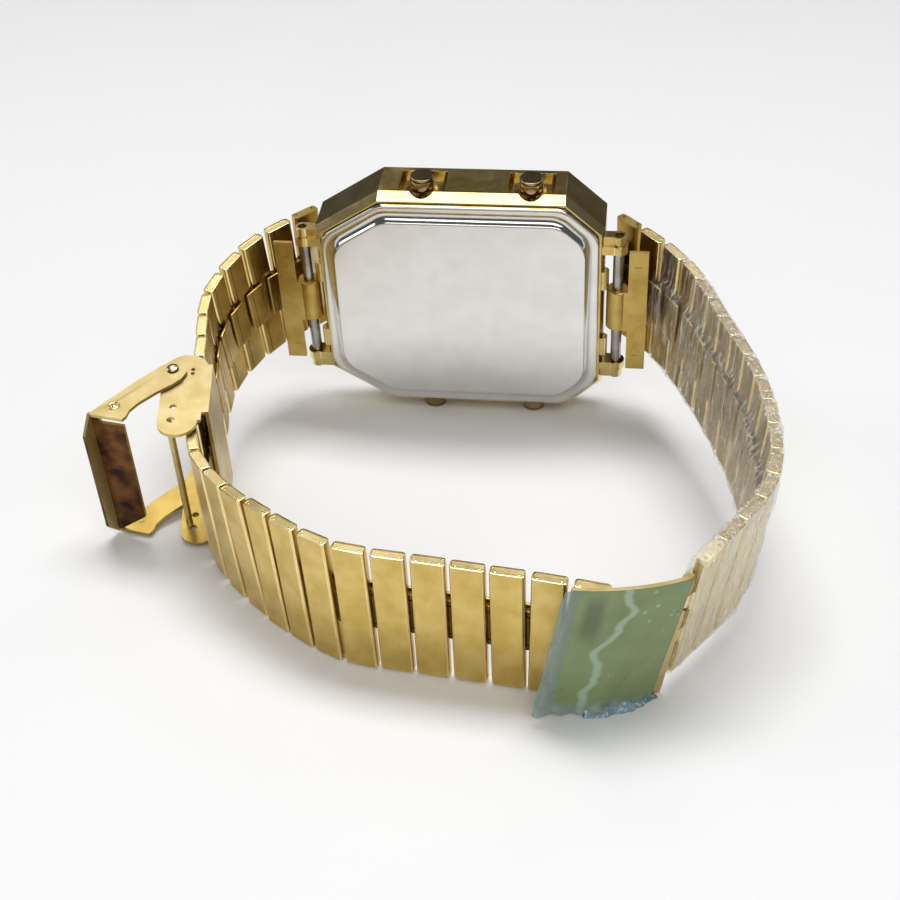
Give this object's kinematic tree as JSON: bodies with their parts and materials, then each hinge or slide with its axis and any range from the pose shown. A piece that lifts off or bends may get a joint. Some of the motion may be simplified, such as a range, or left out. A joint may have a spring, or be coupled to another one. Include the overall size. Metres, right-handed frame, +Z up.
{
  "type": "analog-digital wristwatch",
  "caption": "Gold-tone octagonal analog-digital wristwatch standing on its side, steel back, side pushers, link bracelet with sliding clasp",
  "frame": {"origin": "on the table, under the middle of the bounding box of the watch as it stands on its 9 o'clock side", "axes": "+X from the 6 o'clock end of the case to the 12 o'clock end, +Y from the bracelet's front towards the case's dial side, +Z up"},
  "size_m": [0.0858, 0.0768, 0.0394],
  "materials": {
    "gold": "brushed gold-tone plating",
    "steel": "fine satin stainless",
    "gasket": "matt black",
    "crystal": "clear",
    "dial": "satin champagne paint",
    "lcd": "grey-green display",
    "module": "moulded frame",
    "hands": "polished gold tone",
    "film": "clear blue-green protective film"
  },
  "bodies": {
    "case": {"case_body": "gold", "case_back": "steel", "back_gasket": "gasket", "crystal": "crystal", "dial": "dial", "lcd": "lcd", "module": "module", "battery": "steel", "spring_bars": "steel"},
    "hour_hand": {"hour_hand": "hands"},
    "minute_hand": {"minute_hand": "hands"},
    "pusher_2": {"pusher_2": "gold"},
    "pusher_4": {"pusher_4": "gold"},
    "pusher_8": {"pusher_8": "gold"},
    "pusher_10": {"pusher_10": "gold"},
    "a_end_piece": {"a_end_piece": "gold"},
    "a_link_02": {"a_link_02": "gold"},
    "a_link_03": {"a_link_03": "gold"},
    "a_link_04": {"a_link_04": "gold"},
    "a_link_05": {"a_link_05": "gold"},
    "a_link_06": {"a_link_06": "gold"},
    "a_link_07": {"a_link_07": "gold"},
    "a_link_08": {"a_link_08": "gold"},
    "a_held_links": {"a_held_links": "gold"},
    "a_link_12": {"a_link_12": "gold"},
    "a_link_13": {"a_link_13": "gold"},
    "a_link_14": {"a_link_14": "gold"},
    "a_link_15": {"a_link_15": "gold"},
    "a_link_16": {"a_link_16": "gold"},
    "a_link_17": {"a_link_17": "gold"},
    "a_link_18": {"a_link_18": "gold"},
    "a_link_19": {"a_link_19": "gold"},
    "a_link_20": {"a_link_20": "gold"},
    "a_link_21": {"a_link_21": "gold"},
    "a_link_22": {"a_link_22": "gold"},
    "a_link_23": {"a_link_23": "gold"},
    "a_link_24": {"a_link_24": "gold"},
    "a_link_25": {"a_link_25": "gold"},
    "b_end_piece": {"b_end_piece": "gold"},
    "b_link_02": {"b_link_02": "gold"},
    "b_link_03": {"b_link_03": "gold"},
    "b_link_04": {"b_link_04": "gold"},
    "b_link_05": {"b_link_05": "gold"},
    "b_link_06": {"b_link_06": "gold"},
    "b_link_07": {"b_link_07": "gold"},
    "b_link_08": {"b_link_08": "gold"},
    "b_link_09": {"b_link_09": "gold"},
    "b_link_10": {"b_link_10": "gold"},
    "b_link_11": {"b_link_11": "gold"},
    "b_link_12": {"b_link_12": "gold"},
    "b_link_13": {"b_link_13": "gold"},
    "b_link_14": {"b_link_14": "gold"},
    "b_link_15": {"b_link_15": "gold"},
    "b_link_16": {"b_link_16": "gold"},
    "b_link_17": {"b_link_17": "gold"},
    "slider_body": {"slider_body": "gold"},
    "lever": {"lever": "gold"},
    "cover_plate": {"cover_plate": "gold", "cover_film": "film"}
  },
  "joints": [
    {"name": "minute_turn", "type": "hinge", "parent": "case", "child": "minute_hand", "pos_m": [0.00487, 0.0333, 0.02036], "axis": [0, -0.9851, -0.1719], "continuous": true},
    {"name": "hour_turn", "type": "hinge", "parent": "case", "child": "hour_hand", "pos_m": [0.00487, 0.03301, 0.02031], "axis": [0, -0.9851, -0.1719], "continuous": true},
    {"name": "pusher_2_press", "type": "slide", "parent": "case", "child": "pusher_2", "axis": [0, 0.1719, -0.9851], "range_m": [0, 0.001], "stiffness_N_per_m": 300, "springref_m": -0.001},
    {"name": "pusher_4_press", "type": "slide", "parent": "case", "child": "pusher_4", "axis": [0, 0.1719, -0.9851], "range_m": [0, 0.001], "stiffness_N_per_m": 300, "springref_m": -0.001},
    {"name": "pusher_8_press", "type": "slide", "parent": "case", "child": "pusher_8", "axis": [0, -0.1719, 0.9851], "range_m": [0, 0.001], "stiffness_N_per_m": 300, "springref_m": -0.001},
    {"name": "pusher_10_press", "type": "slide", "parent": "case", "child": "pusher_10", "axis": [0, -0.1719, 0.9851], "range_m": [0, 0.001], "stiffness_N_per_m": 300, "springref_m": -0.001},
    {"name": "a_end_swing", "type": "hinge", "parent": "case", "child": "a_end_piece", "pos_m": [-0.02123, 0.02818, 0.01947], "axis": [0, 0.1719, -0.9851], "range_deg": [0, 5]},
    {"name": "a_01_bend", "type": "hinge", "parent": "a_end_piece", "child": "a_link_02", "pos_m": [-0.02376, 0.03318, 0.02034], "axis": [0, 0.1719, -0.9851], "range_deg": [0, 4]},
    {"name": "a_02_bend", "type": "hinge", "parent": "a_link_02", "child": "a_link_03", "pos_m": [-0.02686, 0.03005, 0.01963], "axis": [0.0262, 0.1976, -0.9799], "range_deg": [0, 13]},
    {"name": "a_03_bend", "type": "hinge", "parent": "a_link_03", "child": "a_link_04", "pos_m": [-0.02935, 0.02648, 0.01868], "axis": [0.0523, 0.2229, -0.9734], "range_deg": [0, 13]},
    {"name": "a_04_bend", "type": "hinge", "parent": "a_link_04", "child": "a_link_05", "pos_m": [-0.03116, 0.02255, 0.01759], "axis": [0.0393, 0.2485, -0.9678], "range_deg": [0, 13]},
    {"name": "a_05_bend", "type": "hinge", "parent": "a_link_05", "child": "a_link_06", "pos_m": [-0.03224, 0.0184, 0.01638], "axis": [0.0262, 0.2739, -0.9614], "range_deg": [0, 20]},
    {"name": "a_06_bend", "type": "hinge", "parent": "a_link_06", "child": "a_link_07", "pos_m": [-0.032, 0.01408, 0.01526], "axis": [0.0131, 0.2515, -0.9678], "range_deg": [0, 9]},
    {"name": "a_07_bend", "type": "hinge", "parent": "a_link_07", "child": "a_link_08", "pos_m": [-0.03131, 0.0098, 0.01426], "axis": [0, 0.2289, -0.9734], "range_deg": [0, 3]},
    {"name": "a_08_bend", "type": "hinge", "parent": "a_link_08", "child": "a_held_links", "pos_m": [-0.03061, 0.00549, 0.01334], "axis": [-0.0087, 0.2062, -0.9785], "range_deg": [0, 3]},
    {"name": "a_11_bend", "type": "hinge", "parent": "a_held_links", "child": "a_link_12", "pos_m": [-0.02852, -0.00744, 0.01058], "axis": [-0.0175, 0.2062, -0.9784], "range_deg": [0, 12]},
    {"name": "a_12_bend", "type": "hinge", "parent": "a_link_12", "child": "a_link_13", "pos_m": [-0.02714, -0.01161, 0.00983], "axis": [0.0087, 0.1788, -0.9838], "range_deg": [0, 21]},
    {"name": "a_13_bend", "type": "hinge", "parent": "a_link_13", "child": "a_link_14", "pos_m": [-0.02452, -0.01519, 0.00938], "axis": [0.0349, 0.1512, -0.9879], "range_deg": [0, 10]},
    {"name": "a_14_bend", "type": "hinge", "parent": "a_link_14", "child": "a_link_15", "pos_m": [-0.02148, -0.01845, 0.00916], "axis": [0.061, 0.1234, -0.9905], "range_deg": [0, 8]},
    {"name": "a_15_bend", "type": "hinge", "parent": "a_link_15", "child": "a_link_16", "pos_m": [-0.01818, -0.02145, 0.00916], "axis": [0.0872, 0.0955, -0.9916], "range_deg": [0, 6]},
    {"name": "a_16_bend", "type": "hinge", "parent": "a_link_16", "child": "a_link_17", "pos_m": [-0.01472, -0.02427, 0.00922], "axis": [0.0727, 0.0678, -0.995], "range_deg": [0, 6]},
    {"name": "a_17_bend", "type": "hinge", "parent": "a_link_17", "child": "a_link_18", "pos_m": [-0.01112, -0.0269, 0.00922], "axis": [0.0581, 0.0788, -0.9952], "range_deg": [0, 11]},
    {"name": "a_18_bend", "type": "hinge", "parent": "a_link_18", "child": "a_link_19", "pos_m": [-0.00719, -0.029, 0.00921], "axis": [0.0436, 0.0897, -0.995], "range_deg": [0, 19]},
    {"name": "a_19_bend", "type": "hinge", "parent": "a_link_19", "child": "a_link_20", "pos_m": [-0.00283, -0.02993, 0.00924], "axis": [0.0291, 0.1006, -0.9945], "range_deg": [0, 8]},
    {"name": "a_20_bend", "type": "hinge", "parent": "a_link_20", "child": "a_link_21", "pos_m": [0.0016, -0.03048, 0.00924], "axis": [0.0145, 0.1115, -0.9937], "range_deg": [0, 3]},
    {"name": "a_21_bend", "type": "hinge", "parent": "a_link_21", "child": "a_link_22", "pos_m": [0.00603, -0.03102, 0.00918], "axis": [0, 0.1115, -0.9938], "range_deg": [0, 3]},
    {"name": "a_22_bend", "type": "hinge", "parent": "a_link_22", "child": "a_link_23", "pos_m": [0.01045, -0.03156, 0.00912], "axis": [0, 0.1115, -0.9938], "range_deg": [0, 3]},
    {"name": "a_23_bend", "type": "hinge", "parent": "a_link_23", "child": "a_link_24", "pos_m": [0.01488, -0.0321, 0.00906], "axis": [0, 0.1115, -0.9938], "range_deg": [0, 3]},
    {"name": "a_24_bend", "type": "hinge", "parent": "a_link_24", "child": "a_link_25", "pos_m": [0.0193, -0.03263, 0.00889], "axis": [-0.0262, 0.1114, -0.9934], "range_deg": [0, 3]},
    {"name": "b_end_swing", "type": "hinge", "parent": "case", "child": "b_end_piece", "pos_m": [0.02257, 0.02818, 0.01947], "axis": [0, -0.1719, 0.9851], "range_deg": [0, 5]},
    {"name": "b_01_bend", "type": "hinge", "parent": "b_end_piece", "child": "b_link_02", "pos_m": [0.0251, 0.03318, 0.02034], "axis": [0, -0.1719, 0.9851], "range_deg": [0, 5]},
    {"name": "b_02_bend", "type": "hinge", "parent": "b_link_02", "child": "b_link_03", "pos_m": [0.02814, 0.02998, 0.01971], "axis": [0.0233, -0.1719, 0.9848], "range_deg": [0, 11]},
    {"name": "b_03_bend", "type": "hinge", "parent": "b_link_03", "child": "b_link_04", "pos_m": [0.0307, 0.0264, 0.01897], "axis": [0.0465, -0.1717, 0.984], "range_deg": [0, 11]},
    {"name": "b_04_bend", "type": "hinge", "parent": "b_link_04", "child": "b_link_05", "pos_m": [0.03272, 0.02251, 0.01814], "axis": [0.0698, -0.1715, 0.9827], "range_deg": [0, 8]},
    {"name": "b_05_bend", "type": "hinge", "parent": "b_link_05", "child": "b_link_06", "pos_m": [0.03438, 0.01846, 0.01734], "axis": [0.0581, -0.1716, 0.9834], "range_deg": [0, 5]},
    {"name": "b_06_bend", "type": "hinge", "parent": "b_link_06", "child": "b_link_07", "pos_m": [0.03591, 0.01432, 0.01664], "axis": [0.0465, -0.1488, 0.9878], "range_deg": [0, 4]},
    {"name": "b_07_bend", "type": "hinge", "parent": "b_link_07", "child": "b_link_08", "pos_m": [0.03736, 0.01014, 0.01606], "axis": [0.0349, -0.1258, 0.9914], "range_deg": [0, 4]},
    {"name": "b_08_bend", "type": "hinge", "parent": "b_link_08", "child": "b_link_09", "pos_m": [0.03873, 0.00593, 0.01556], "axis": [0.0489, -0.1027, 0.9935], "range_deg": [0, 7.5]},
    {"name": "b_09_bend", "type": "hinge", "parent": "b_link_09", "child": "b_link_10", "pos_m": [0.03977, 0.00163, 0.01501], "axis": [0.0628, -0.1112, 0.9918], "range_deg": [0, 7.5]},
    {"name": "b_10_bend", "type": "hinge", "parent": "b_link_10", "child": "b_link_11", "pos_m": [0.04047, -0.00274, 0.01443], "axis": [0.0767, -0.1198, 0.9898], "range_deg": [0, 7.5]},
    {"name": "b_11_bend", "type": "hinge", "parent": "b_link_11", "child": "b_link_12", "pos_m": [0.04082, -0.00714, 0.01382], "axis": [0.0906, -0.1283, 0.9876], "range_deg": [0, 7]},
    {"name": "b_12_bend", "type": "hinge", "parent": "b_link_12", "child": "b_link_13", "pos_m": [0.04086, -0.01156, 0.01321], "axis": [0.1045, -0.1367, 0.9851], "range_deg": [0, 12]},
    {"name": "b_13_bend", "type": "hinge", "parent": "b_link_13", "child": "b_link_14", "pos_m": [0.0402, -0.01594, 0.01266], "axis": [0.1149, -0.14, 0.9835], "range_deg": [0, 17]},
    {"name": "b_14_bend", "type": "hinge", "parent": "b_link_14", "child": "b_link_15", "pos_m": [0.03851, -0.02005, 0.01228], "axis": [0.1253, -0.1432, 0.9817], "range_deg": [0, 12]},
    {"name": "b_15_bend", "type": "hinge", "parent": "b_link_15", "child": "b_link_16", "pos_m": [0.0362, -0.02385, 0.01203], "axis": [0.1357, -0.1464, 0.9799], "range_deg": [0, 4]},
    {"name": "b_16_bend", "type": "hinge", "parent": "b_link_16", "child": "b_link_17", "pos_m": [0.03383, -0.02762, 0.01181], "axis": [0.1461, -0.1496, 0.9779], "range_deg": [0, 4]},
    {"name": "cover_swing", "type": "hinge", "parent": "a_link_25", "child": "cover_plate", "pos_m": [0.02373, -0.03314, 0.0086], "axis": [-0.0523, 0.1113, -0.9924], "range_deg": [0, 8]},
    {"name": "slider_slide", "type": "slide", "parent": "a_held_links", "child": "slider_body", "axis": [0.1564, -0.9659, -0.2063], "range_m": [-0.001, 0.001]},
    {"name": "lever_swing", "type": "hinge", "parent": "slider_body", "child": "lever", "pos_m": [-0.03336, 0.00149, 0.01255], "axis": [0.0175, -0.2062, 0.9784], "range_deg": [-45, 41]}
  ],
  "couplings": [
    {"joint": "hour_turn", "follows": "minute_turn", "ratio": 0.083333}
  ]
}
